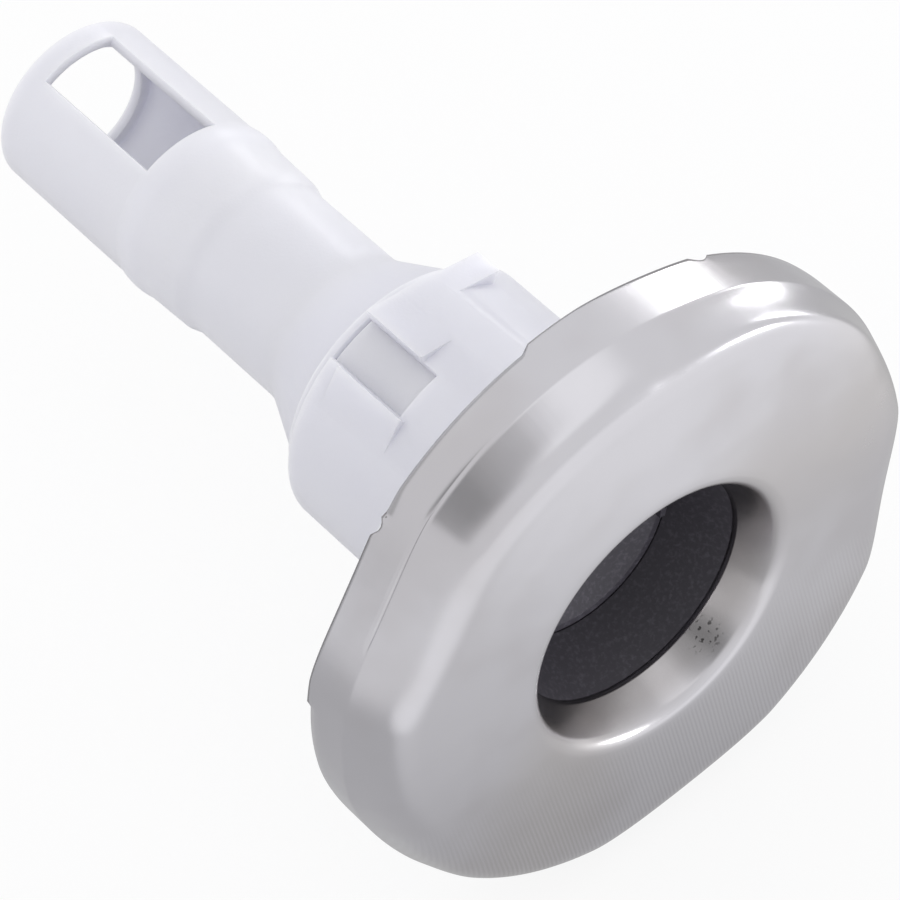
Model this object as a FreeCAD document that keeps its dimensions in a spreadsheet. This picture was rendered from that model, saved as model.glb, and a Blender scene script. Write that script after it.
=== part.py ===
import FreeCAD, Part
import math
import os
import re
import Sketcher

# Hot tub jet internal: a lobed steel escutcheon over a moulded face, a dark nozzle housing with a
# swivelling nozzle, a flow barrel with a side window, and the ring that locks it in its wall fitting.
# Millimetres. +Y points to the rear along the jet axis, +Z up through a lobe and the barrel's window.
# The origin is on the jet axis, in the plane where the face's back rim meets the tub wall.

doc = FreeCAD.newDocument("HotTubJet")
sheet = doc.addObject("Spreadsheet::Sheet", "Sizes")

sizes = {
    # Steel escutcheon and its lobes
    "steelThickness": 0.8,
    "escutcheonRadius": 42.3,
    "skirtDepth": 7.0,
    "skirtSetback": 0.8,
    "shoulderRadius": 6.5,
    "faceFall": 0.65,
    "lipRollRadius": 2.2,
    "innerRollRadius": 0.4,
    "throatRadius": 16.4,
    "lipDepth": 6.15,
    "lipTilt": 22.0,
    "lobeCount": 5,
    "scallopDepth": 2.0,
    "scallopCurve": 80.0,
    "crimpAngle": 34.0,
    "crimpTurnAngle": -23.0,
    "crimpReach": 2.4,
    "reliefWidth": 3.0,
    # Moulded face under the steel
    "faceWall": 2.0,
    "faceClearance": 0.15,
    "rimWall": 2.2,
    "hubWall": 2.0,
    "ribThickness": 1.6,
    "ribSetback": 2.4,
    "ribCount": 10,
    # Nozzle housing
    "fitGap": 0.15,
    "flangeOverhang": 1.8,
    "flangeThickness": 1.6,
    "flangeSetback": 0.2,
    "collarWall": 2.2,
    "housingWall": 1.5,
    # Swivelling nozzle, its seat and what keeps it in the housing
    "ballRadius": 14.2,
    "ballSetback": 5.3,
    "nozzleFrontReach": 5.5,
    "nozzleRearReach": 8.5,
    "rimFlat": 0.9,
    "orificeRadius": 4.2,
    "dishDepth": 2.6,
    "dishFloorRadius": 5.4,
    "throatLength": 6.5,
    "inletRim": 2.0,
    "keyWidth": 1.5,
    "keyReach": 1.3,
    "keyDepth": 0.9,
    "keyAngle": 102.0,
    "seatFrontReach": 3.0,
    "seatRearReach": 9.5,
    "seatWall": 0.4,
    "cordRadius": 0.9,
    "retainerThickness": 2.5,
    "retainerWall": 3.3,
    # Flow barrel
    "spigotLength": 5.6,
    "spigotWall": 2.6,
    "barrelWall": 1.5,
    "groovePosition": 2.0,
    "sealClearance": 0.05,
    "sealCordRadius": 0.75,
    "catchHeight": 1.25,
    "catchLength": 1.5,
    "flareLength": 13.5,
    "flareAngle": 25.0,
    "flareBlend": 8.0,
    "neckRadius": 11.35,
    "neckLength": 15.0,
    "stepLength": 2.0,
    "collarDrop": 0.25,
    "collarLength": 7.2,
    "beadHeight": 0.35,
    "beadLength": 4.6,
    "sleeveRadius": 12.25,
    "sleeveLength": 24.5,
    "outletLip": 1.5,
    "outletLipThickness": 1.6,
    "windowLength": 21.6,
    "windowAngle": 53.0,
    "rearHoop": 3.4,
    # Thrust washer
    "washerThickness": 1.0,
    "washerSetback": 0.2,
    # Retaining ring
    "ringGap": 0.3,
    "ringWall": 2.4,
    "ringFront": 1.2,
    "ringLength": 31.0,
    "ringFlangeHeight": 1.5,
    "ringFlangeThickness": 2.0,
    "channelStartAngle": -31.8,
    "channelAngle": 20.5,
    "channelLength": 13.0,
    "channelDepth": 1.35,
    "wedgeHeight": 1.1,
    "longWedgeAngle": 15.0,
    "longWedgeLength": 11.7,
    "longWedgeSetback": 2.3,
    "shortWedgeAngle": 14.0,
    "shortWedgeLength": 10.3,
    "lugHeight": 1.9,
    "lugStartAngle": 4.7,
    "lugAngle": 33.5,
    "lugLength": 4.2,
    "barbPairs": 2,
    # Turning stop between the housing and the ring
    "stopHeight": 1.0,
    "stopAngle": 14.0,
    "stopLength": 2.6,
    "turnAngle": 90.0,
    "stopClearAngle": 1.0,
}
for row, (alias, value) in enumerate(sizes.items(), start=1):
    sheet.set("A%d" % row, alias)
    sheet.set("B%d" % row, str(value))
    sheet.setAlias("B%d" % row, alias)
doc.recompute()

aliasWords = re.compile(r"\b(" + "|".join(sorted(sizes, key=len, reverse=True)) + r")\b")


def bound(text):
    """The expression with each size read from the sheet."""
    return aliasWords.sub(r"Sizes.\1", str(text))


def number(text):
    """The present value of an expression, as a plain number."""
    value = sheet.evalExpression(bound(text))
    return float(getattr(value, "Value", value))


def add_body(name):
    body = doc.addObject("PartDesign::Body", name)
    body.Label = name
    return body


def origin_part(body, role):
    return next(part for part in body.Origin.OriginFeatures if part.Role == role)


def arc_between(start, end, radius, turn):
    """The arc from start to end. turn is 1 for counterclockwise and -1 for clockwise."""
    if turn < 0:
        start, end = end, start
    dx, dy = end[0] - start[0], end[1] - start[1]
    chord = math.hypot(dx, dy)
    rise = math.sqrt(max(radius ** 2 - (chord / 2) ** 2, 0.0))
    centre = FreeCAD.Vector((start[0] + end[0]) / 2 - dy / chord * rise,
                            (start[1] + end[1]) / 2 + dx / chord * rise, 0)
    first = math.atan2(start[1] - centre.y, start[0] - centre.x)
    last = math.atan2(end[1] - centre.y, end[0] - centre.x)
    if last < first:
        last += 2 * math.pi
    circle = Part.Circle(centre, FreeCAD.Vector(0, 0, 1), radius)
    return Part.ArcOfCircle(circle, first, last)


def add_outline(body, name, role, corners, station=None):
    """A closed outline on one of the body's planes.

    A corner is (x, y), or (x, y, radius, turn) where an arc runs on to the next corner.
    station is where the outline lies along Y, for a sketch on the XZ plane.
    """
    sketch = body.newObject("Sketcher::SketchObject", name)
    sketch.AttachmentSupport = [(origin_part(body, role), "")]
    sketch.MapMode = "FlatFace"
    if station is not None:
        sketch.setExpression("AttachmentOffset.Base.z", bound("-(%s)" % station))
    points = [(number(corner[0]), number(corner[1])) for corner in corners]
    for index, corner in enumerate(corners):
        start = points[index]
        end = points[(index + 1) % len(points)]
        if len(corner) > 2:
            edge = arc_between(start, end, number(corner[2]), corner[3])
        else:
            edge = Part.LineSegment(FreeCAD.Vector(*start, 0), FreeCAD.Vector(*end, 0))
        sketch.addGeometry(edge, False)
    for index, corner in enumerate(corners):
        before = index - 1 if index else len(corners) - 1
        entry = 1 if len(corner) < 3 or corner[3] > 0 else 2
        leave = 2 if len(corners[before]) < 3 or corners[before][3] > 0 else 1
        sketch.addConstraint(Sketcher.Constraint("Coincident", before, leave, index, entry))
        x, y = points[index]
        place = sketch.addConstraint(Sketcher.Constraint("DistanceX", -1, 1, index, entry, x))
        sketch.setExpression("Constraints[%d]" % place, bound(corner[0]))
        place = sketch.addConstraint(Sketcher.Constraint("DistanceY", -1, 1, index, entry, y))
        sketch.setExpression("Constraints[%d]" % place, bound(corner[1]))
        if len(corner) > 2:
            curve = Sketcher.Constraint("Radius", index, number(corner[2]))
            place = sketch.addConstraint(curve)
            sketch.setExpression("Constraints[%d]" % place, bound(corner[2]))
    return sketch


def add_circle(body, name, x, z, radius, station):
    sketch = body.newObject("Sketcher::SketchObject", name)
    sketch.AttachmentSupport = [(origin_part(body, "XZ_Plane"), "")]
    sketch.MapMode = "FlatFace"
    sketch.setExpression("AttachmentOffset.Base.z", bound("-(%s)" % station))
    centre = FreeCAD.Vector(number(x), number(z), 0)
    normal = FreeCAD.Vector(0, 0, 1)
    sketch.addGeometry(Part.Circle(centre, normal, number(radius)), False)
    parts = (("DistanceX", x), ("DistanceY", z))
    for kind, size in parts:
        limit = Sketcher.Constraint(kind, -1, 1, 0, 3, number(size))
        sketch.setExpression("Constraints[%d]" % sketch.addConstraint(limit), bound(size))
    limit = Sketcher.Constraint("Radius", 0, number(radius))
    sketch.setExpression("Constraints[%d]" % sketch.addConstraint(limit), bound(radius))
    return sketch


def revolve(body, name, corners, kind="PartDesign::Revolution"):
    """A full turn of an (r, y) outline about the jet axis, added or, as a Groove, cut away."""
    sketch = add_outline(body, name + "Outline", "XY_Plane", corners)
    feature = body.newObject(kind, name)
    feature.Profile = sketch
    feature.ReferenceAxis = (sketch, ["V_Axis"])
    feature.Angle = 360.0
    body.Tip = feature
    doc.recompute()
    return feature


def extrude(body, name, sketch, length, cut=False):
    """A pad or pocket that runs rearwards from its sketch."""
    before = body.Shape.Volume if cut else 0.0
    feature = body.newObject("PartDesign::Pocket" if cut else "PartDesign::Pad", name)
    feature.Profile = sketch
    feature.Reversed = not cut
    feature.setExpression("Length", bound(length))
    body.Tip = feature
    doc.recompute()
    if cut and not body.Shape.Volume < before:
        raise RuntimeError("%s cuts nothing" % name)
    return feature


def repeat(body, name, features, count):
    """Copies of the features, evenly round the jet axis."""
    pattern = body.newObject("PartDesign::PolarPattern", name)
    pattern.Originals = features
    pattern.Axis = (origin_part(body, "Y_Axis"), [""])
    pattern.Angle = 360.0
    pattern.setExpression("Occurrences", bound(count))
    body.Tip = pattern
    doc.recompute()
    return pattern


def add_cord(body, name, path, station, cord):
    """A round cord ring about the jet axis."""
    sketch = body.newObject("Sketcher::SketchObject", name + "Outline")
    sketch.AttachmentSupport = [(origin_part(body, "XY_Plane"), "")]
    sketch.MapMode = "FlatFace"
    centre = FreeCAD.Vector(number(path), number(station), 0)
    sketch.addGeometry(Part.Circle(centre, FreeCAD.Vector(0, 0, 1), number(cord)), False)
    for kind, size in (("DistanceX", path), ("DistanceY", station)):
        limit = Sketcher.Constraint(kind, -1, 1, 0, 3, number(size))
        sketch.setExpression("Constraints[%d]" % sketch.addConstraint(limit), bound(size))
    limit = Sketcher.Constraint("Radius", 0, number(cord))
    sketch.setExpression("Constraints[%d]" % sketch.addConstraint(limit), bound(cord))
    ring = body.newObject("PartDesign::Revolution", name)
    ring.Profile = sketch
    ring.ReferenceAxis = (sketch, ["V_Axis"])
    ring.Angle = 360.0
    body.Tip = ring
    doc.recompute()


def polar(radius, angle):
    """A corner in the XZ plane. Angles run from +Z towards +X."""
    return "(%s) * sin(%s)" % (radius, angle), "(%s) * cos(%s)" % (radius, angle)


def sector(inner, outer, start, end, outerEnd=None):
    """The corners of a ring sector. outerEnd gives it a ramped outer edge instead of an arc."""
    first = polar(inner, start)
    last = polar(inner, end)
    if outerEnd is None:
        top = polar(outer, start) + (outer, -1)
        return [top, polar(outer, end), last + (inner, 1), first]
    return [polar(outer, start), polar(outerEnd, end), last + (inner, 1), first]


# Stations along Y and radii that several pieces share
skirtEnd = "(-skirtSetback)"
skirtStart = "(%s - skirtDepth)" % skirtEnd
faceEdge = "(%s - shoulderRadius)" % skirtStart
crest = "(%s - faceFall)" % faceEdge
lipEnd = "(%s + lipDepth)" % crest
collarRadiusOuter = "(throatRadius + collarWall)"
boreRadius = "(ballRadius + fitGap + seatWall + fitGap)"
housingRadius = "(%s + housingWall)" % boreRadius
flangeBack = "(-flangeSetback)"
flangeFront = "(%s - flangeThickness)" % flangeBack
nozzleFront = "(ballSetback - nozzleFrontReach)"
nozzleRear = "(ballSetback + nozzleRearReach)"
socketRadius = "(ballRadius + fitGap)"
seatLipFront = "(%s - fitGap)" % nozzleFront
seatFront = "(ballSetback + seatFrontReach)"
seatRear = "(ballSetback + seatRearReach)"
cordCentre = "(%s + fitGap + cordRadius)" % seatRear
retainerFront = "(%s + cordRadius)" % cordCentre
retainerRear = "(%s + retainerThickness)" % retainerFront
spigotFront = "(%s + fitGap)" % retainerRear
housingRear = "(%s + spigotLength)" % spigotFront
ringRear = "(ringFront + ringLength)"
ringInnerRadius = "(%s + ringGap)" % housingRadius
ringOuterRadius = "(%s + ringWall)" % ringInnerRadius
ringFlangeRadius = "(%s + ringFlangeHeight)" % ringOuterRadius
washerRadius = "(%s - washerSetback)" % ringFlangeRadius
flangeRadius = "(%s + flangeOverhang)" % ringFlangeRadius


def on_sphere(radius, station):
    """The radius, at a station along Y, of a sphere about the nozzle's centre."""
    return "sqrt((%s)^2 - (%s - ballSetback)^2)" % (radius, station)


def add_cap(name, offset, backEnd):
    """A lobed dome, offset inwards from the escutcheon's outer surface by a constant amount.

    It is the solid between that surface and the plane backEnd. Its throat is a funnel that a roll
    joins to the face.
    """
    body = add_body(name)
    throat = "(throatRadius + %s / cos(lipTilt))" % offset
    roll = "max(lipRollRadius - %s; innerRollRadius)" % offset
    lipRun = "((lipDepth - (%s + %s) * (1 - sin(lipTilt))) / cos(lipTilt))" % (offset, roll)
    rollStartRadius = "(throatRadius + %s * cos(lipTilt) + %s * sin(lipTilt))" % (offset, lipRun)
    rollStart = "(%s + %s * sin(lipTilt) - %s * cos(lipTilt))" % (lipEnd, offset, lipRun)
    crestRadius = "(%s + %s * cos(lipTilt))" % (rollStartRadius, roll)
    edgeRadius = "(escutcheonRadius - shoulderRadius)"
    corners = [
        (throat, backEnd),
        (throat, lipEnd),
        (rollStartRadius, rollStart, roll, 1),
        (crestRadius, "%s + %s" % (crest, offset)),
        (edgeRadius, "%s + %s" % (faceEdge, offset), "shoulderRadius - (%s)" % offset, 1),
        ("escutcheonRadius - (%s)" % offset, skirtStart),
        ("escutcheonRadius - (%s)" % offset, backEnd),
    ]
    revolve(body, name + "Turned", corners)
    centre = "escutcheonRadius - scallopDepth + scallopCurve"
    middle = "180 / lobeCount"
    x, z = polar(centre, middle)
    circle = add_circle(body, name + "ScallopOutline", x, z, "scallopCurve + (%s)" % offset,
                        "%s - scallopDepth" % crest)
    scallop = extrude(body, name + "Scallop", circle,
                      "2 * scallopDepth + (%s) - (%s)" % (backEnd, crest), cut=True)
    repeat(body, name + "Scallops", [scallop], "lobeCount")
    return body


def add_cut(name, base, tool):
    cut = doc.addObject("Part::Cut", name)
    cut.Base = base
    cut.Tool = tool
    doc.recompute()
    return cut


def add_fuse(name, pieces):
    fuse = doc.addObject("Part::MultiFuse", name)
    fuse.Shapes = pieces
    fuse.Refine = True
    doc.recompute()
    return fuse


# Escutcheon: a thin stamping with a rolled lip at the throat and tabs crimped in at its back edge
steelOuter = add_cap("EscutcheonOuter", "0", skirtEnd)
steelInner = add_cap("EscutcheonInner", "steelThickness", "(%s + 1)" % skirtEnd)
steelShell = add_cut("EscutcheonShell", steelOuter, steelInner)

lipTrim = add_body("EscutcheonLipTrim")
revolve(lipTrim, "LipTrimTurned", [
    ("throatRadius - 1", lipEnd),
    ("escutcheonRadius - scallopDepth - 4 * steelThickness", lipEnd),
    ("escutcheonRadius - scallopDepth - 4 * steelThickness", "%s + 1" % skirtEnd),
    ("throatRadius - 1", "%s + 1" % skirtEnd),
])
steelTrimmed = add_cut("EscutcheonTrimmed", steelShell, lipTrim)

crimpTabs = add_body("CrimpTabs")
crimpStation = "(%s - steelThickness)" % skirtEnd
tabSketch = add_outline(crimpTabs, "CrimpTabOutline", "XZ_Plane", sector(
    "escutcheonRadius - crimpReach", "escutcheonRadius - steelThickness / 2",
    "crimpTurnAngle - crimpAngle / 2", "crimpTurnAngle + crimpAngle / 2"), crimpStation)
crimpTab = extrude(crimpTabs, "CrimpTab", tabSketch, "steelThickness")
repeat(crimpTabs, "CrimpTabRing", [crimpTab], "lobeCount")
steelWithTabs = add_fuse("EscutcheonWithTabs", [steelTrimmed, crimpTabs])

reliefs = add_body("SkirtReliefs")
reliefStation = "(%s - reliefWidth / 2)" % skirtEnd
reliefX, reliefZ = polar("escutcheonRadius - scallopDepth", "180 / lobeCount")
reliefSketch = add_circle(reliefs, "SkirtReliefOutline", reliefX, reliefZ, "reliefWidth / 2",
                          reliefStation)
relief = extrude(reliefs, "SkirtRelief", reliefSketch, "reliefWidth")
repeat(reliefs, "SkirtReliefRing", [relief], "lobeCount")
escutcheon = add_cut("escutcheon", steelWithTabs, reliefs)
escutcheon.Label = "escutcheon"

# Face: the translucent moulding that fills the steel, with a rim, a hub and ribs behind
faceOffset = "(steelThickness + faceClearance)"
faceInner = "(%s + faceWall)" % faceOffset
faceBack = "min(%s - steelThickness - faceClearance; %s)" % (skirtEnd, flangeFront)
faceOuterBody = add_cap("FaceOuter", faceOffset, faceBack)
faceInnerBody = add_cap("FaceInner", faceInner, "(skirtSetback + 1)")
faceShell = add_cut("FaceShell", faceOuterBody, faceInnerBody)

hubRadius = "(%s + fitGap)" % collarRadiusOuter
faceHub = add_body("FaceHub")
hubFront = "(%s - faceWall)" % lipEnd
revolve(faceHub, "FaceHubTurned", [
    (hubRadius, hubFront),
    ("%s + hubWall" % hubRadius, hubFront),
    ("%s + hubWall" % hubRadius, flangeFront),
    (hubRadius, flangeFront),
])
rimOuter = "(escutcheonRadius - scallopDepth - %s - faceClearance)" % faceOffset
rimFront = "(%s + faceWall)" % skirtStart
faceRim = add_body("FaceRim")
revolve(faceRim, "FaceRimTurned", [
    ("%s - rimWall" % rimOuter, rimFront),
    (rimOuter, rimFront),
    (rimOuter, "0"),
    ("%s - rimWall" % rimOuter, "0"),
])
faceRibs = add_body("FaceRibs")
ribStation = "(%s + %s)" % (faceEdge, faceInner)
ribCorners = [
    ("-ribThickness / 2", "%s + hubWall / 2" % hubRadius),
    ("ribThickness / 2", "%s + hubWall / 2" % hubRadius),
    ("ribThickness / 2", "%s - rimWall / 2" % rimOuter),
    ("-ribThickness / 2", "%s - rimWall / 2" % rimOuter),
]
ribSketch = add_outline(faceRibs, "FaceRibOutline", "XZ_Plane", ribCorners,
                        "%s - faceWall / 2" % ribStation)
rib = extrude(faceRibs, "FaceRib", ribSketch, "faceWall / 2 - ribSetback - (%s)" % ribStation)
repeat(faceRibs, "FaceRibRing", [rib], "ribCount")
faceWhole = add_fuse("FaceWhole", [faceShell, faceHub, faceRim, faceRibs])
facePassage = add_body("FacePassage")
revolve(facePassage, "FacePassageTurned", [
    ("throatRadius - 1", lipEnd + " - fitGap"),
    (hubRadius, lipEnd + " - fitGap"),
    (hubRadius, "skirtSetback + 2"),
    ("throatRadius - 1", "skirtSetback + 2"),
])
facePlate = add_cut("face_plate", faceWhole, facePassage)
facePlate.Label = "face_plate"

# Nozzle housing: the dark funnel of the throat, the front half of the nozzle's socket and a tube
housing = add_body("nozzle_housing")
housingFront = "(%s + fitGap)" % lipEnd
revolve(housing, "HousingTurned", [
    ("throatRadius", housingFront),
    (collarRadiusOuter, housingFront),
    (collarRadiusOuter, flangeFront),
    (flangeRadius, flangeFront),
    (flangeRadius, flangeBack),
    (housingRadius, flangeBack),
    (housingRadius, housingRear),
    (boreRadius, housingRear),
    (boreRadius, seatFront + " - fitGap"),
    (on_sphere(socketRadius, seatFront + " - fitGap"), seatFront + " - fitGap", socketRadius, -1),
    (on_sphere(socketRadius, seatLipFront), seatLipFront),
])
stopStation = "(ringFront + fitGap)"
stopOutline = add_outline(housing, "TurnStopOutline", "XZ_Plane", sector(
    "%s - housingWall / 2" % housingRadius, "%s + stopHeight" % ringInnerRadius,
    "180 - stopAngle / 2", "180 + stopAngle / 2"), stopStation)
extrude(housing, "TurnStop", stopOutline, "stopLength")

# Nozzle: a ball cut off in front and behind, dished in front, with a short orifice and a wide inlet
nozzle = add_body("nozzle")
rimRadius = on_sphere("ballRadius", nozzleFront)
rearRadius = on_sphere("ballRadius", nozzleRear)
dishFloor = "(%s + dishDepth)" % nozzleFront
orificeEnd = "(%s + throatLength)" % dishFloor
revolve(nozzle, "NozzleTurned", [
    ("%s - rimFlat" % rimRadius, nozzleFront),
    (rimRadius, nozzleFront, "ballRadius", 1),
    (rearRadius, nozzleRear),
    ("%s - inletRim" % rearRadius, nozzleRear),
    ("orificeRadius", orificeEnd),
    ("orificeRadius", "%s + dishFloorRadius - orificeRadius" % dishFloor),
    ("dishFloorRadius", dishFloor),
])
keyFront = "(%s - keyDepth)" % nozzleFront
keyOuter = on_sphere("ballRadius", keyFront)
keyOutline = add_outline(nozzle, "NozzleKeyOutline", "XZ_Plane", sector(
    "%s - keyReach" % rimRadius, keyOuter, "keyAngle",
    "keyAngle + keyWidth / (%s) * 180 / pi" % rimRadius), keyFront)
extrude(nozzle, "NozzleKey", keyOutline, "2 * keyDepth")

# Nozzle seat: the rear half of the socket, free to turn in the housing
nozzleSeat = add_body("nozzle_seat")
seatOuter = "(%s - fitGap)" % boreRadius
revolve(nozzleSeat, "NozzleSeatTurned", [
    (on_sphere(socketRadius, seatFront), seatFront),
    (seatOuter, seatFront),
    (seatOuter, seatRear),
    (on_sphere(socketRadius, seatRear), seatRear, socketRadius, -1),
])

# Friction cord ring that steadies the seat, and the retainer that backs it
cordRing = add_body("friction_o_ring")
cordPath = "(%s - cordRadius)" % seatOuter
add_cord(cordRing, "FrictionCord", cordPath, cordCentre, "cordRadius")

retainer = add_body("nozzle_retainer")
retainerBore = "(%s - retainerWall)" % boreRadius
revolve(retainer, "RetainerTurned", [
    (retainerBore, retainerFront),
    (boreRadius, retainerFront),
    (boreRadius, retainerRear),
    (retainerBore, retainerRear),
])

# Flow barrel: a spigot in the housing, a catch behind the ring, a flare, a neck and a slotted sleeve
barrel = add_body("barrel")
spigotRadius = "(%s - fitGap)" % boreRadius
grooveFront = "(%s + groovePosition)" % spigotFront
grooveRear = "(%s + 2 * sealCordRadius + fitGap)" % grooveFront
catchFront = "(%s + ringGap)" % ringRear
catchRear = "(%s + catchLength)" % catchFront
neckFront = "(%s + flareLength)" % catchRear
neckRear = "(%s + neckLength)" % neckFront
collarFront = "(%s + stepLength)" % neckRear
beadFront = "(%s + collarLength)" % collarFront
beadRear = "(%s + beadLength)" % beadFront
barrelRear = "(%s + sleeveLength)" % beadRear
entryRadius = "(%s - spigotWall)" % spigotRadius
grooveRadius = "(%s - sealClearance - 2 * sealCordRadius)" % boreRadius
sleeveBore = "(sleeveRadius - barrelWall)"
neckBore = "(neckRadius - barrelWall)"
collarRadius = "(sleeveRadius - collarDrop)"
flareTop = "(%s + catchHeight)" % housingRadius
blendRadius = "(neckRadius + flareBlend * (1 - cos(flareAngle)))"
blendFront = "(%s - flareBlend * sin(flareAngle))" % neckFront
coneTop = "(%s + (%s - %s) * tan(flareAngle))" % (blendRadius, blendFront, catchRear)
beadCurve = "(beadLength^2 / 4 + beadHeight^2) / (2 * beadHeight)"
revolve(barrel, "BarrelTurned", [
    (spigotRadius, spigotFront),
    (spigotRadius, grooveFront),
    (grooveRadius, grooveFront),
    (grooveRadius, grooveRear),
    (spigotRadius, grooveRear),
    (spigotRadius, housingRear),
    (housingRadius, housingRear),
    (housingRadius, catchFront),
    (flareTop, "%s + catchLength / 4" % catchFront),
    (flareTop, catchRear),
    (coneTop, catchRear),
    (blendRadius, blendFront, "flareBlend", -1),
    ("neckRadius", neckFront),
    ("neckRadius", neckRear),
    (collarRadius, collarFront),
    ("sleeveRadius", beadFront, beadCurve, 1),
    ("sleeveRadius", beadRear),
    ("sleeveRadius", barrelRear),
    ("%s - outletLip" % sleeveBore, barrelRear),
    ("%s - outletLip" % sleeveBore, "%s - outletLipThickness" % barrelRear),
    (sleeveBore, "%s - outletLipThickness" % barrelRear),
    (sleeveBore, collarFront),
    (neckBore, neckRear),
    (neckBore, neckFront),
    (entryRadius, catchFront),
    (entryRadius, spigotFront),
])
windowRear = "(%s - rearHoop)" % barrelRear
windowFront = "(%s - windowLength)" % windowRear
windowSketch = add_outline(barrel, "WindowOutline", "XZ_Plane", sector(
    "sleeveRadius / 2", "sleeveRadius + barrelWall", "-windowAngle / 2", "windowAngle / 2"),
    windowFront)
extrude(barrel, "Window", windowSketch, "windowLength", cut=True)

sealRing = add_body("barrel_o_ring")
add_cord(sealRing, "SealCord", "%s + sealCordRadius" % grooveRadius,
         "(%s + %s) / 2" % (grooveFront, grooveRear), "sealCordRadius")

# Thrust washer between the housing's flange and the ring
washer = add_body("thrust_washer")
revolve(washer, "WasherTurned", [
    ("%s + fitGap" % housingRadius, flangeBack),
    (washerRadius, flangeBack),
    (washerRadius, "%s + washerThickness" % flangeBack),
    ("%s + fitGap" % housingRadius, "%s + washerThickness" % flangeBack),
])

# Retaining ring: two pairs of wedges beside a channel, and two ramped lugs that lock in the fitting
ring = add_body("retaining_ring")
flangeEnd = "(ringFront + ringFlangeThickness)"
revolve(ring, "RingTurned", [
    (ringInnerRadius, "ringFront"),
    (ringFlangeRadius, "ringFront"),
    (ringFlangeRadius, flangeEnd),
    (ringOuterRadius, flangeEnd),
    (ringOuterRadius, ringRear),
    (ringInnerRadius, ringRear),
])
channelEnd = "(channelStartAngle + channelAngle)"
rootRadius = "(%s - channelDepth / 2)" % ringOuterRadius
wedgeTop = "(%s + wedgeHeight)" % ringOuterRadius
longWedge = add_outline(ring, "LongWedgeOutline", "XZ_Plane", sector(
    rootRadius, ringOuterRadius, "channelStartAngle - longWedgeAngle", "channelStartAngle",
    wedgeTop), "%s - longWedgeSetback - longWedgeLength" % ringRear)
longPad = extrude(ring, "LongWedge", longWedge, "longWedgeLength")
shortWedge = add_outline(ring, "ShortWedgeOutline", "XZ_Plane", sector(
    rootRadius, wedgeTop, channelEnd, "%s + shortWedgeAngle" % channelEnd, ringOuterRadius),
    "%s - shortWedgeLength" % ringRear)
shortPad = extrude(ring, "ShortWedge", shortWedge, "shortWedgeLength")
lugOutline = add_outline(ring, "LugOutline", "XZ_Plane", sector(
    rootRadius, ringOuterRadius, "lugStartAngle", "lugStartAngle + lugAngle",
    "%s + lugHeight" % ringOuterRadius), "%s - lugLength" % ringRear)
lugPad = extrude(ring, "Lug", lugOutline, "lugLength")
repeat(ring, "WedgeRing", [longPad, shortPad, lugPad], "barbPairs")
channelOutline = add_outline(ring, "ChannelOutline", "XZ_Plane", sector(
    "%s - channelDepth" % ringOuterRadius, "%s + wedgeHeight" % wedgeTop, "channelStartAngle",
    channelEnd), "%s - channelLength" % ringRear)
channel = extrude(ring, "Channel", channelOutline, "channelLength", cut=True)
repeat(ring, "ChannelRing", [channel], "barbPairs")
stopRun = "(turnAngle + stopAngle / 2 + stopClearAngle)"
slotOutline = add_outline(ring, "StopSlotOutline", "XZ_Plane", sector(
    "%s - ringGap" % ringInnerRadius, "%s + stopHeight + fitGap" % ringInnerRadius,
    "180 - stopAngle / 2 - stopClearAngle", "180 + %s" % stopRun), "ringFront")
extrude(ring, "StopSlot", slotOutline, "stopLength + 3 * fitGap", cut=True)

# Write each piece once everything has been computed without a fault
doc.recompute()
nodes = ["escutcheon", "face_plate", "nozzle_housing", "nozzle", "nozzle_seat", "friction_o_ring",
         "nozzle_retainer", "barrel", "barrel_o_ring", "thrust_washer", "retaining_ring"]
for item in doc.Objects:
    if "Invalid" in item.State or "Error" in item.State:
        raise RuntimeError("%s is not computed: %s" % (item.Name, item.State))
os.makedirs("parts", exist_ok=True)
for node in nodes:
    piece = doc.getObject(node)
    if piece.Shape.isNull() or not piece.Shape.isValid():
        raise RuntimeError("%s has no valid shape" % node)
    piece.Shape.exportStep("parts/%s.step" % node)
    box = piece.Shape.BoundBox
    print("%-16s solids %d volume %8.1f  y %7.2f to %7.2f  x %6.2f z %6.2f" % (
        node, len(piece.Shape.Solids), piece.Shape.Volume, box.YMin, box.YMax, box.XMax, box.ZMax))
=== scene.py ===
import bpy
import bmesh
import math
from mathutils import Matrix, Vector


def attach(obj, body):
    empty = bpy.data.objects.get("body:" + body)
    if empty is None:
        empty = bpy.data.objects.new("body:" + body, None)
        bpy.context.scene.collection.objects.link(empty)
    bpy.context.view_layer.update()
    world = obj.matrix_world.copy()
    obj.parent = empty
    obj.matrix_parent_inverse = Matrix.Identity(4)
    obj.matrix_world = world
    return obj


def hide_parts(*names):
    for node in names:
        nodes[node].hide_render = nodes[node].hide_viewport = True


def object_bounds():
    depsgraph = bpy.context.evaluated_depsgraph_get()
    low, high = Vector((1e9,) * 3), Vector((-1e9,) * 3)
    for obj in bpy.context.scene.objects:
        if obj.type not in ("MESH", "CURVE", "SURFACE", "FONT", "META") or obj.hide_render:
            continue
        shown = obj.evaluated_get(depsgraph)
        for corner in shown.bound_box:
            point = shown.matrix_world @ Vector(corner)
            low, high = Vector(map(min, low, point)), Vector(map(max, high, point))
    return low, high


# Hot tub jet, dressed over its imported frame. Metres. The jet axis is Y, with the face towards -Y.
# Angles round the axis run from +Z towards +X.

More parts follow.
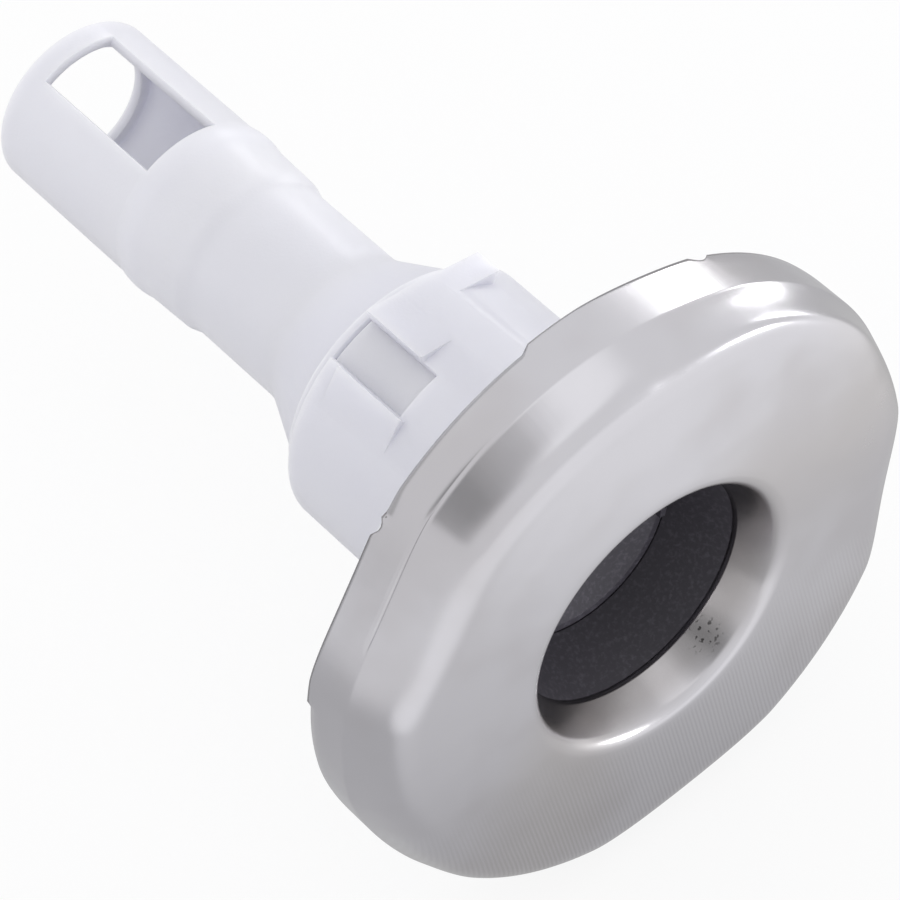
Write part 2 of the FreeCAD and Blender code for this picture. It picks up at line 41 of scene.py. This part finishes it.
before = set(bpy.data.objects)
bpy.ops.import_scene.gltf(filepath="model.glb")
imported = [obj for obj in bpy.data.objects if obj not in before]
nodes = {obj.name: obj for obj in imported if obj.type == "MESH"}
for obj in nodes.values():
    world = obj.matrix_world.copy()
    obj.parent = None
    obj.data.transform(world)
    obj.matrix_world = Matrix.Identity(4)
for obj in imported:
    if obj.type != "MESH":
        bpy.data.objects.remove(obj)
cadBox = [list(corner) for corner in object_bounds()]
print("frame loaded with", len(nodes), "nodes")


# Shader sockets that can be used in Python expressions

class Wire:
    def __init__(self, finish, socket):
        self.finish = finish
        self.socket = socket

    def __add__(self, other):
        return self.finish.maths("ADD", self, other)

    def __radd__(self, other):
        return self.finish.maths("ADD", other, self)

    def __sub__(self, other):
        return self.finish.maths("SUBTRACT", self, other)

    def __rsub__(self, other):
        return self.finish.maths("SUBTRACT", other, self)

    def __mul__(self, other):
        return self.finish.maths("MULTIPLY", self, other)

    def __rmul__(self, other):
        return self.finish.maths("MULTIPLY", other, self)


class Finish:
    def __init__(self, name, kind="Material"):
        store = bpy.data.worlds if kind == "World" else bpy.data.materials
        self.made = store.new(name)
        self.made.use_nodes = True
        self.tree = self.made.node_tree
        self.tree.nodes.clear()
        self.output = self.tree.nodes.new("ShaderNodeOutput" + kind)

    def node(self, kind, settings=None, inputs=None, out=0):
        made = self.tree.nodes.new(kind)
        for key, value in (settings or {}).items():
            if key == "stops":
                for element, (place, colour) in zip(made.color_ramp.elements, value):
                    element.position = place
                    element.color = (*colour, 1.0)
            else:
                setattr(made, key, value)
        for key, value in (inputs or {}).items():
            if isinstance(value, Wire):
                self.tree.links.new(value.socket, made.inputs[key])
            else:
                made.inputs[key].default_value = value
        return Wire(self, made.outputs[out])

    def maths(self, operation, first, second=0.0):
        return self.node("ShaderNodeMath", {"operation": operation}, {0: first, 1: second})

    def place(self, scale=(1, 1, 1), turn=(0, 0, 0)):
        here = self.node("ShaderNodeTexCoord", out="Object")
        return self.node("ShaderNodeMapping", {"vector_type": "POINT"},
                         {"Vector": here, "Scale": scale, "Rotation": turn})

    def noise(self, vector, scale, detail=2.0, rough=0.5):
        return self.node("ShaderNodeTexNoise", None,
                         {"Vector": vector, "Scale": scale, "Detail": detail, "Roughness": rough},
                         out="Fac")

    def ramp(self, value, low, high, start=0.0, end=1.0):
        return self.node("ShaderNodeMapRange", {"clamp": True, "interpolation_type": "SMOOTHSTEP"},
                         {"Value": value, "From Min": low, "From Max": high,
                          "To Min": start, "To Max": end})

    def part(self, vector, axis):
        return self.node("ShaderNodeSeparateXYZ", None, {0: vector}, out=axis)

    def blend(self, fraction, first, second):
        return self.node("ShaderNodeMix", {"data_type": "RGBA"},
                         {"Factor": fraction, 6: (*first, 1.0) if isinstance(first, tuple) else first,
                          7: (*second, 1.0) if isinstance(second, tuple) else second}, out=2)

    def bump(self, height, depth, strength=1.0, normal=None):
        inputs = {"Height": height, "Distance": depth, "Strength": strength}
        if normal is not None:
            inputs["Normal"] = normal
        return self.node("ShaderNodeBump", None, inputs)

    def finish(self, shader):
        self.tree.links.new(shader.socket, self.output.inputs["Surface"])
        return self.made


def linear(colour):  # screen values of 0 to 1 as the shader's linear ones
    return tuple(c / 12.92 if c <= 0.04045 else ((c + 0.055) / 1.055) ** 2.4 for c in colour)


# Stainless steel of the escutcheon

steelLook = {
    "colour": (0.800, 0.795, 0.815),
    "warmColour": (0.765, 0.745, 0.725),
    "dullColour": (0.765, 0.757, 0.772),
    # darker tone of the ground lines; also painted shade inside the throat, blended in by the share between
    # the two radii
    "scoreAndThroatShadeColour": (0.600, 0.585, 0.580),
    "throatShadeShare": 0.6,
    "throatShadeRadii": (0.0174, 0.0192),
    "roughness": 0.24,
    "cloudScale": 38.0,        # soft patches left by polishing
    "cloudRoughness": 0.14,
    "cloudDepth": 0.0009,
    "warmScale": 22.0,
    "warmShare": 0.5,
    "fineScale": 900.0,
    "fineRoughness": 0.05,
    "lineScale": 1500.0,       # fine brushed lines
    "lineStretch": 30.0,
    "lineDepth": 0.000012,
    "groundScale": 560.0,      # the coarser ground lines low on the face
    "groundTurn": 7.8,
    "groundDepth": 0.000040,
    "groundShare": 0.24,
    "groundHeights": (-0.030, -0.006),
    "groundRadii": (0.0195, 0.0225),
    "speckColour": (0.16, 0.15, 0.15),
    "speckShare": 0.8,
    "speckScale": 1900.0,
    "speckPlace": (0.0084, -0.0111, -0.0149),
    "speckReach": (0.0010, 0.0030),
}


def makeSteel():
    steel = Finish("brushedSteel")
    look = steelLook
    whole = steel.place()
    clouds = steel.noise(whole, look["cloudScale"], 3.0, 0.55)
    warm = steel.ramp(steel.noise(whole, look["warmScale"], 1.0), 0.48, 0.72)
    fine = steel.noise(whole, look["fineScale"], 2.0, 0.6)
    turn = (0, math.radians(look["groundTurn"]), 0)
    stretch = (look["lineScale"], look["lineStretch"], look["lineStretch"])
    lines = steel.noise(steel.place(stretch, turn), 1.0, 1.0)
    ground = steel.node("ShaderNodeTexWave", {"bands_direction": "X"},
                        {"Vector": steel.place(turn=turn), "Scale": look["groundScale"],
                         "Distortion": 1.2, "Detail": 1.0, "Detail Scale": 0.3}, out="Fac")
    low = 1.0 - steel.ramp(steel.part(whole, "Z") + (clouds - 0.5) * 0.02, *look["groundHeights"])
    near = steel.node("ShaderNodeVectorMath", {"operation": "DISTANCE"},
                      {0: whole, 1: look["speckPlace"]}, out="Value")
    specks = steel.ramp(steel.noise(whole, look["speckScale"], 1.0), 0.60, 0.66) * (
        1.0 - steel.ramp(near, *look["speckReach"]))
    radius = steel.node("ShaderNodeVectorMath", {"operation": "LENGTH"},
                        {0: steel.place((1, 0, 1))}, out="Value")
    # painted shade: steel closer to the axis than these radii, inside the throat, is darkened
    shadedThroat = 1.0 - steel.ramp(radius, *look["throatShadeRadii"])
    scored = ground * low * steel.ramp(radius, *look["groundRadii"])
    patches = steel.ramp(clouds, 0.38, 0.62)
    colour = steel.blend(patches, linear(look["colour"]), linear(look["dullColour"]))
    colour = steel.blend(warm * look["warmShare"], colour, linear(look["warmColour"]))
    colour = steel.blend(scored * look["groundShare"], colour, linear(look["scoreAndThroatShadeColour"]))
    colour = steel.blend(shadedThroat * look["throatShadeShare"], colour, linear(look["scoreAndThroatShadeColour"]))
    colour = steel.blend(specks * look["speckShare"], colour, linear(look["speckColour"]))
    roughness = (look["roughness"] + (clouds - 0.5) * look["cloudRoughness"]
                 + (fine - 0.5) * look["fineRoughness"])
    normal = steel.bump(lines, look["lineDepth"], 0.35)
    normal = steel.bump(scored, look["groundDepth"], 0.5, normal)
    normal = steel.bump(clouds, look["cloudDepth"], 0.25, normal)
    shader = steel.node("ShaderNodeBsdfPrincipled", None, {
        "Base Color": colour, "Metallic": 1.0, "Roughness": roughness, "Normal": normal})
    return steel.finish(shader)


# Plastics and rubber

milkyLook = {
    "colour": (0.885, 0.885, 0.915),
    "shade": (0.865, 0.865, 0.900),
    "roughness": 0.36,
    "scatter": 0.0035,
    "scatterWeight": 0.75,
}


def makeMilky():
    milky = Finish("milkyPlastic")
    look = milkyLook
    whole = milky.place()
    drift = milky.ramp(milky.noise(whole, 30.0, 2.0), 0.3, 0.7)
    grain = milky.noise(whole, 2600.0, 2.0)
    flow = milky.noise(milky.place((260.0, 40.0, 260.0)), 1.0, 2.0)
    shader = milky.node("ShaderNodeBsdfPrincipled", None, {
        "Base Color": milky.blend(drift, linear(look["colour"]), linear(look["shade"])),
        "Roughness": look["roughness"] + (flow - 0.5) * 0.12,
        "Subsurface Weight": look["scatterWeight"],
        "Subsurface Radius": (1.0, 1.0, 1.0),
        "Subsurface Scale": look["scatter"],
        "IOR": 1.49,
        "Normal": milky.bump(flow * 0.6 + grain * 0.4, 0.00012, 0.35)})
    return milky.finish(shader)


def makeMoulded(name, colour, roughness, grainDepth, speck=0.0):
    moulded = Finish(name)
    whole = moulded.place()
    grain = moulded.noise(whole, 1700.0, 3.0, 0.6)
    drift = moulded.noise(whole, 60.0, 2.0)
    lighter = tuple(min(1.0, part * (1.0 + speck) + speck * 0.02) for part in linear(colour))
    shader = moulded.node("ShaderNodeBsdfPrincipled", None, {
        "Base Color": moulded.blend(moulded.ramp(grain, 0.45, 0.75), linear(colour), lighter),
        "Roughness": roughness + (drift - 0.5) * 0.1,
        "Normal": moulded.bump(grain, grainDepth, 0.5)})
    return moulded.finish(shader)


steel = makeSteel()
milky = makeMilky()
graphite = makeMoulded("graphitePlastic", (0.205, 0.195, 0.225), 0.6, 0.00004, 0.5)
nozzleGrey = makeMoulded("nozzlePlastic", (0.27, 0.26, 0.295), 0.5, 0.00005, 0.6)
acetal = makeMoulded("acetalPlastic", (0.86, 0.855, 0.83), 0.32, 0.00001, 0.03)
rubber = makeMoulded("sealRubber", (0.13, 0.13, 0.13), 0.6, 0.00002, 0.2)
for node, material in (("escutcheon", steel), ("face_plate", milky), ("nozzle_housing", graphite),
                       ("nozzle", nozzleGrey), ("nozzle_seat", acetal), ("friction_o_ring", rubber),
                       ("nozzle_retainer", acetal), ("barrel", milky), ("barrel_o_ring", rubber),
                       ("thrust_washer", acetal), ("retaining_ring", milky)):
    nodes[node].data.materials.clear()
    nodes[node].data.materials.append(material)
print("finishes made")


def addPiece(name, bm, material, body, stoodFor):
    mesh = bpy.data.meshes.new(name)
    bm.to_mesh(mesh)
    bm.free()
    piece = bpy.data.objects.new(name, mesh)
    bpy.context.scene.collection.objects.link(piece)
    mesh.materials.append(material)
    mesh.shade_smooth()
    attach(piece, body)
    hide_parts(stoodFor)
    return piece


def arcPoints(centre, radii, start, end, steps):  # (r, y) points of an ellipse's arc, in degrees
    angles = [math.radians(start + (end - start) * i / steps) for i in range(steps + 1)]
    return [(centre[0] + radii[0] * math.cos(a), centre[1] + radii[1] * math.sin(a)) for a in angles]


def linePoints(start, end, steps):  # leaves out both ends
    return [(start[0] + (end[0] - start[0]) * i / steps, start[1] + (end[1] - start[1]) * i / steps)
            for i in range(1, steps)]


def curvePoints(start, leave, meet, end, steps):  # a cubic curve with two handles
    shares = [i / steps for i in range(steps + 1)]
    return [tuple((1 - t) ** 3 * start[k] + 3 * t * (1 - t) ** 2 * leave[k] + 3 * t * t * (1 - t) * meet[k]
                  + t ** 3 * end[k] for k in (0, 1)) for t in shares]


def spinProfile(points, steps):  # a full turn of (r, y) points about the jet axis
    bm = bmesh.new()
    line = [bm.verts.new((r, y, 0.0)) for r, y in points]
    edges = [bm.edges.new(pair) for pair in zip(line, line[1:])]
    bmesh.ops.spin(bm, geom=line + edges, cent=(0, 0, 0), axis=(0, 1, 0), dvec=(0, 0, 0),
                   angle=math.tau, steps=steps, use_merge=True, use_duplicate=False)
    bmesh.ops.remove_doubles(bm, verts=bm.verts[:], dist=1e-6)
    bmesh.ops.recalc_face_normals(bm, faces=bm.faces[:])
    return bm


def ease(value):
    value = min(1.0, max(0.0, value))
    return value * value * (3.0 - 2.0 * value)


def between(angle, middle):  # signed difference in degrees
    return (angle - middle + 180.0) % 360.0 - 180.0


# Escutcheon: stamped steel, lobed by hand-ground scallops and crimped at its back edge

escutcheonForm = {
    "throatRadius": 0.0164,
    "lipEnd": -0.0088,
    "lipTilt": 22.0,
    "rollRadius": 0.0022,
    "crest": -0.01495,
    "faceFall": 0.00065,
    "edgeRadius": 0.0358,
    "rimRadius": 0.04229,
    "creaseStation": -0.0068,
    "bendRadius": 0.0016,      # the tight bend from shoulder to skirt
    "bendTurn": 20.0,
    "faceReach": 0.0042,       # how far the shoulder leaves along the face and meets the bend
    "bendReach": 0.0048,
    "backEdge": -0.0008,
    "thickness": 0.00045,
    "underGap": 0.00075,       # how far the moulding stays below the steel's outer surface
    # angle, depth and half width of each scallop
    "scallops": [(18.0, 0.0004, 14.0), (104.7, 0.0019, 19.0), (178.0, 0.0014, 22.0),
                 (-112.0, 0.0006, 18.0), (-54.0, 0.0017, 19.0)],
    "fullMiddle": 40.0,        # where the face stays full almost to the bend
    "fullHalf": 34.0,
    "fullPush": 0.0020,
    "scallopInner": 0.027,
    "crimpMiddle": -23.0,
    "crimpHalf": 17.0,
    "crimpLength": 0.0022,
    "crimpReach": (0.0011, 0.0002, 0.0005, 0.0006, 0.0006),
    "turnedEdge": 0.0004,
    "tabRadius": 0.0400,
    "notchDepth": 0.0009,
    "notchHalf": 2.0,
    "foldDepth": 0.00030,      # a hand-formed fold between skirt and shoulder on the left
    "foldHalf": 0.00028,
    "foldSharp": -52.0,
    "foldFade": -14.0,
    "turnSteps": 480,
}


def escutcheonProfile(form):
    tilt = math.radians(form["lipTilt"])
    roll = form["rollRadius"]
    lipRun = (form["lipEnd"] - form["crest"] - roll * (1 - math.sin(tilt))) / math.cos(tilt)
    rollStart = (form["throatRadius"] + lipRun * math.sin(tilt), form["lipEnd"] - lipRun * math.cos(tilt))
    rollCentre = (rollStart[0] + roll * math.cos(tilt), form["crest"] + roll)
    faceEdge = (form["edgeRadius"], form["crest"] + form["faceFall"])
    bend = math.radians(form["bendTurn"])
    tight = form["bendRadius"]
    bendCentre = (form["rimRadius"] - tight, form["creaseStation"] - 1.1 * form["foldHalf"])
    bendStart = (bendCentre[0] + tight * math.cos(bend), bendCentre[1] - tight * math.sin(bend))
    points = [(form["throatRadius"], form["lipEnd"])]
    points += linePoints(points[0], rollStart, 8)
    points += arcPoints(rollCentre, (roll, roll), 180 + form["lipTilt"], 270, 14)
    points += linePoints(points[-1], faceEdge, 14)
    points += curvePoints(faceEdge, (faceEdge[0] + form["faceReach"], faceEdge[1]),
                          (bendStart[0] - form["bendReach"] * math.sin(bend),
                           bendStart[1] - form["bendReach"] * math.cos(bend)), bendStart, 22)
    points += arcPoints(bendCentre, (tight, tight), -form["bendTurn"], 0, 8)[1:]
    for step in (-2, -1, 0, 1, 2):
        points.append((form["rimRadius"], form["creaseStation"] + step * form["foldHalf"] / 2))
    points += linePoints(points[-1], (form["rimRadius"], form["backEdge"]), 12)
    points.append((form["rimRadius"], form["backEdge"]))
    for step in (1, 2, 3):  # the turned edge, pulled out into a tab at each lobe
        points.append((form["rimRadius"] - step * form["turnedEdge"] / 3, form["backEdge"]))
    return points


def scallopInward(form, radius, angle):
    inward = 0.0
    for middle, depth, half in form["scallops"]:
        across = between(angle, middle) / half
        if abs(across) < 1.0:
            inward += depth * (1.0 - across * across) ** 1.5
    return inward * ease((radius - form["scallopInner"]) / (form["edgeRadius"] - form["scallopInner"]))


def shapeEscutcheon(bm, form):
    for vert in bm.verts:
        radius = math.hypot(vert.co.x, vert.co.z)
        angle = math.degrees(math.atan2(vert.co.x, vert.co.z))
        inward = scallopInward(form, radius, angle)
        full = 1.0 - (between(angle, form["fullMiddle"]) / form["fullHalf"]) ** 2
        if full > 0.0 and vert.co.y < form["creaseStation"]:
            inward -= (form["fullPush"] * ease(full) * ease((radius - 0.029) / 0.009)
                       * ease((form["rimRadius"] - radius) / 0.0035))
        count = round(((angle - form["crimpMiddle"]) % 360.0) / 72.0) % 5
        lobe = between(angle, form["crimpMiddle"] + count * 72.0)
        tail = (vert.co.y - form["backEdge"]) / form["crimpLength"] + 1.0
        held = ease((form["crimpHalf"] - abs(lobe)) / 0.8 + 0.5)
        if radius > form["edgeRadius"] and tail > 0.0:
            inward += form["crimpReach"][count] * tail * tail * held
            notch = abs(lobe + form["crimpHalf"] + form["notchHalf"]) / form["notchHalf"]
            if notch < 1.0:
                vert.co.y -= form["notchDepth"] * tail * (1.0 - notch * notch)
        fold = 1.0 - abs(vert.co.y - form["creaseStation"]) / form["foldHalf"]
        if fold > 0.0 and radius > form["edgeRadius"] and form["foldSharp"] - 10 < angle < form["foldFade"]:
            share = (form["foldFade"] - angle) / (form["foldFade"] - form["foldSharp"])
            inward += form["foldDepth"] * fold * ease(share) * ease((angle - form["foldSharp"] + 10) / 5)
        reach = radius - inward
        turned = (form["rimRadius"] - radius) / form["turnedEdge"]
        if tail > 0.9999 and turned > 0.1:
            reach += min(0.0, form["tabRadius"] - reach) * turned * held
        vert.co.x *= reach / radius
        vert.co.z *= reach / radius


def makeEscutcheon():
    form = escutcheonForm
    bm = spinProfile(escutcheonProfile(form), form["turnSteps"])
    shapeEscutcheon(bm, form)
    bmesh.ops.recalc_face_normals(bm, faces=bm.faces[:])
    front = min(bm.faces, key=lambda face: face.calc_center_median().y)
    if front.normal.y > 0.0:
        bmesh.ops.reverse_faces(bm, faces=bm.faces[:])
    piece = addPiece("escutcheon_shell", bm, steel, "face", "escutcheon")
    wall = piece.modifiers.new("wall", "SOLIDIFY")
    wall.thickness = form["thickness"]
    wall.offset = -1.0
    wall.use_even_offset = True


def lowerShoulder(bm):  # the face moulding follows the steel's shoulder, a little below it
    form = escutcheonForm
    outside = [point for point in escutcheonProfile(form) if point[0] > form["edgeRadius"] - 0.001]
    below = []
    for (r, y), (nextR, nextY) in zip(outside, outside[1:]):
        long = math.hypot(nextR - r, nextY - y)
        below.append((r - form["underGap"] * (nextY - y) / long,
                      y + form["underGap"] * (nextR - r) / long))
    for vert in bm.verts:
        radius = math.hypot(vert.co.x, vert.co.z)
        if radius < below[0][0]:
            continue
        vert.co.y = max(vert.co.y, below[0][1])
        rim = form["rimRadius"] - form["underGap"]
        for (r, y), (nextR, nextY) in zip(below, below[1:]):
            if y <= vert.co.y < nextY:
                rim = r + (nextR - r) * (vert.co.y - y) / (nextY - y)
                break
        angle = math.degrees(math.atan2(vert.co.x, vert.co.z))
        allowed = rim - scallopInward(form, rim + form["underGap"], angle)
        if radius > allowed:
            vert.co.x *= allowed / radius
            vert.co.z *= allowed / radius


makeEscutcheon()
print("escutcheon made")


# Moulded pieces: the frame's shapes with their sharp edges rounded

softenedLook = {
    "mergeReach": 2e-6,
    "flatAngle": 0.6,          # faces of the frame closer than this to one plane are joined
    "sharpAngle": 28.0,        # edges sharper than this are rounded
    "segments": 3,
    "shadeAngle": 35.0,
}


def makeSoftened(name, node, radius, body, shape=None):
    look = softenedLook
    bm = bmesh.new()
    bm.from_mesh(nodes[node].data)
    bmesh.ops.remove_doubles(bm, verts=bm.verts[:], dist=look["mergeReach"])
    bmesh.ops.dissolve_limit(bm, angle_limit=math.radians(look["flatAngle"]), verts=bm.verts[:],
                             edges=bm.edges[:], use_dissolve_boundaries=False, delimit=set())
    keen = [edge for edge in bm.edges
            if len(edge.link_faces) == 2 and edge.calc_face_angle() > math.radians(look["sharpAngle"])]
    bmesh.ops.bevel(bm, geom=keen, offset=radius, offset_type="OFFSET", affect="EDGES",
                    segments=look["segments"], profile=0.5, material=-1, clamp_overlap=True)
    bmesh.ops.remove_doubles(bm, verts=bm.verts[:], dist=look["mergeReach"])
    if shape:
        shape(bm)
    material = nodes[node].data.materials[0]
    piece = addPiece(name, bm, material, body, node)
    piece.data.set_sharp_from_angle(angle=math.radians(look["shadeAngle"]))


makeSoftened("locking_ring", "retaining_ring", 0.00025, "ring")
makeSoftened("flow_barrel", "barrel", 0.00025, "face")
makeSoftened("face_moulding", "face_plate", 0.0002, "face", lowerShoulder)
print("moulded pieces made")


# Stage: a pale floor under the rim, soft lamps, and the camera at the photograph's angle

stageLook = {
    "floorDrop": 0.0005,
    "floorSize": 6.0,
    "floorColour": (0.94, 0.94, 0.945),
    "paleShare": 0.86,         # how much of the floor the camera and the steel see as plain white
    "nearFloor": 0.56,         # the floor's brightness in the steel's reflections: painted shadow close to the jet, and a glow brighter than white far from it
    "midFloor": 0.76,
    "farFloor": 1.16,
    "gloom": 0.32,             # the studio's darkest part in the steel, high on the left
    "skyBright": 0.95,
    "gloomToward": (-0.45, -0.15, 0.88),
    "gloomStart": 0.84,
    "floorTurn": 0.35,         # how far the floor's shading leans towards +X
    "farBand": (-0.090, -0.050),
    "nearBand": (-0.045, -0.018),
}
lamps = [  # name, azimuth, elevation, distance, width, height, power
    ("overheadLamp", -10.0, 80.0, 0.9, 0.9, 0.9, 0.55),
    ("skirtLamp", 124.0, 19.0, 0.9, 0.12, 0.12, 0.5),
    ("stripLamp", 105.0, -2.0, 0.9, 0.16, 0.80, 1.3),
    ("lipLamp", 45.0, 1.0, 0.9, 0.30, 0.30, 2.0),
]
cameraPlace = {
    "aim": (-0.00440, 0.0183, 0.0058),
    "distance": 0.600,
    "azimuth": -32.10,
    "elevation": 51.28,
    "roll": -9.70,
    "lens": 200.0,
    "sensor": 36.0,
}


def towards(azimuth, elevation):
    a = math.radians(azimuth)
    e = math.radians(elevation)
    return Vector((math.sin(a) * math.cos(e), -math.cos(a) * math.cos(e), math.sin(e)))


def makeFloor():
    look = stageLook
    bm = bmesh.new()
    bmesh.ops.create_grid(bm, x_segments=1, y_segments=1, size=look["floorSize"] / 2)
    bmesh.ops.translate(bm, verts=bm.verts[:], vec=(0, 0, cadBox[0][2] - look["floorDrop"]))
    mesh = bpy.data.meshes.new("floor")
    bm.to_mesh(mesh)
    bm.free()
    floor = bpy.data.objects.new("floor", mesh)
    bpy.context.scene.collection.objects.link(floor)
    pale = Finish("paleFloor")
    glossy = pale.node("ShaderNodeLightPath", out="Is Glossy Ray")
    seen = (pale.node("ShaderNodeLightPath", out="Is Camera Ray") + glossy
            + pale.node("ShaderNodeLightPath", out="Is Transmission Ray"))
    # painted shadow: for glossy rays the floor's glow is dimmed towards the jet and raised above white far
    # from it
    ahead = pale.part(pale.place(), "Y") - look["floorTurn"] * pale.part(pale.place(), "X")
    paintedFloorShade = (pale.ramp(ahead, *look["farBand"], look["farFloor"] - 1.0, look["midFloor"] - 1.0)
             + pale.ramp(ahead, *look["nearBand"], 0.0, look["nearFloor"] - look["midFloor"]))
    matt = pale.node("ShaderNodeBsdfDiffuse", None, {"Color": (*linear(look["floorColour"]), 1.0)})
    white = pale.node("ShaderNodeEmission", None, {"Color": (1, 1, 1, 1),
                                                      "Strength": 1.0 + glossy * paintedFloorShade})
    shader = pale.node("ShaderNodeMixShader", None,
                       {0: seen * look["paleShare"], 1: matt, 2: white})
    mesh.materials.append(pale.finish(shader))


def makeWorld():
    look = stageLook
    sky = Finish("studio", "World")
    direction = sky.node("ShaderNodeTexCoord", out="Generated")
    toward = sky.node("ShaderNodeVectorMath", {"operation": "DOT_PRODUCT"},
                      {0: direction, 1: look["gloomToward"]}, out="Value")
    plain = look["skyBright"]
    gloom = sky.ramp(toward, look["gloomStart"], 1.0, 0.0, look["gloom"] - plain)
    strength = (plain + sky.node("ShaderNodeLightPath", out="Is Glossy Ray") * gloom
                + sky.node("ShaderNodeLightPath", out="Is Camera Ray") * (1.0 - plain))
    bpy.context.scene.world = sky.finish(
        sky.node("ShaderNodeBackground", None, {"Color": (1, 1, 1, 1), "Strength": strength}))


def makeLamps():
    centre = Vector(cameraPlace["aim"])
    for name, azimuth, elevation, distance, width, height, power in lamps:
        lamp = bpy.data.lights.new(name, "AREA")
        lamp.shape = "ELLIPSE"
        lamp.size = width
        lamp.size_y = height
        lamp.energy = power
        holder = bpy.data.objects.new(name, lamp)
        bpy.context.scene.collection.objects.link(holder)
        direction = towards(azimuth, elevation)
        holder.location = centre + direction * distance
        holder.rotation_euler = direction.to_track_quat("Z", "Y").to_euler()


def makeCamera():
    place = cameraPlace
    camera = bpy.data.cameras.new("photoCamera")
    camera.lens = place["lens"]
    camera.sensor_width = place["sensor"]
    camera.clip_start = 0.01
    holder = bpy.data.objects.new("photoCamera", camera)
    bpy.context.scene.collection.objects.link(holder)
    turn = (Matrix.Rotation(math.radians(place["azimuth"]), 4, "Z")
            @ Matrix.Rotation(math.radians(90.0 - place["elevation"]), 4, "X")
            @ Matrix.Rotation(math.radians(place["roll"]), 4, "Z"))
    outward = towards(place["azimuth"], place["elevation"])
    holder.matrix_world = Matrix.Translation(Vector(place["aim"]) + outward * place["distance"]) @ turn
    bpy.context.scene.camera = holder


makeFloor()
makeWorld()
makeLamps()
makeCamera()
bpy.context.scene.view_settings.view_transform = "Standard"
print("stage made")
